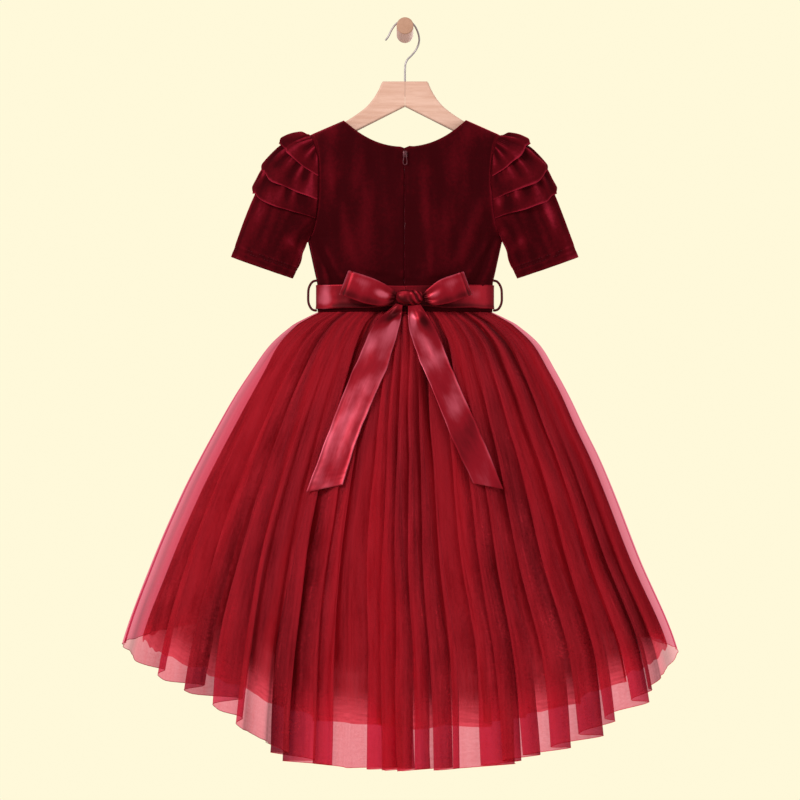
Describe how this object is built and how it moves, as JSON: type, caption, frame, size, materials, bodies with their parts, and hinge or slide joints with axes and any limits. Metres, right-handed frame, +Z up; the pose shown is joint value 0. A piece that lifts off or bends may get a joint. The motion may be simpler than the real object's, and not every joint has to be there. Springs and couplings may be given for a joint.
{
  "type": "toddler party dress on a wooden hanger and wall peg",
  "caption": "Toddler's party dress with velvet bodice, frilled short sleeves, satin sash with bow and a full tulle skirt, hung from a hanger on a peg.",
  "frame": {"origin": "the centre of the wall peg's back face, on the wall plane", "axes": "+Z up; +Y into the wall, the way the dress's front faces; +X to the right of someone who looks at the dress's back"},
  "size_m": [0.7568, 0.2352, 1.0156],
  "materials": {
    "velvet": "deep burgundy velvet, soft pile with a bright sheen on the folds",
    "tulle": "see-through fine net, matt",
    "lining": "plain opaque lining cloth, slight lustre",
    "satin": "satin ribbon, glossy along its folds",
    "wood": "pale beech, smooth and matt",
    "steel": "bright steel wire",
    "zip_metal": "burgundy enamel over metal"
  },
  "bodies": {
    "garment": {"belt_loop_left": "velvet", "belt_loop_right": "velvet", "bodice_back_left": "velvet", "bodice_back_right": "velvet", "bodice_front": "velvet", "bow_knot": "satin", "bow_loop_left": "satin", "bow_loop_right": "satin", "bow_tail_left": "satin", "bow_tail_right": "satin", "hanger_half_left": "wood", "hanger_half_right": "wood", "hanger_hook": "steel", "sash_band": "satin", "skirt_lining_back": "lining", "skirt_lining_front": "lining", "skirt_tulle_inner_back": "tulle", "skirt_tulle_inner_front": "tulle", "skirt_tulle_outer_back": "tulle", "skirt_tulle_outer_front": "tulle", "sleeve_left": "velvet", "sleeve_left_frill_1": "velvet", "sleeve_left_frill_2": "velvet", "sleeve_left_frill_3": "velvet", "sleeve_right": "velvet", "sleeve_right_frill_1": "velvet", "sleeve_right_frill_2": "velvet", "sleeve_right_frill_3": "velvet", "wall_peg": "wood", "zip_slider": "zip_metal", "zip_tape": "velvet"},
    "pull": {"zip_pull": "zip_metal"}
  },
  "joints": [
    {"name": "zip_pull_swing", "type": "hinge", "parent": "garment", "child": "pull", "pos_m": [0, -0.07143, -0.178], "axis": [-1, 0, 0], "range_deg": [0, 150]}
  ]
}
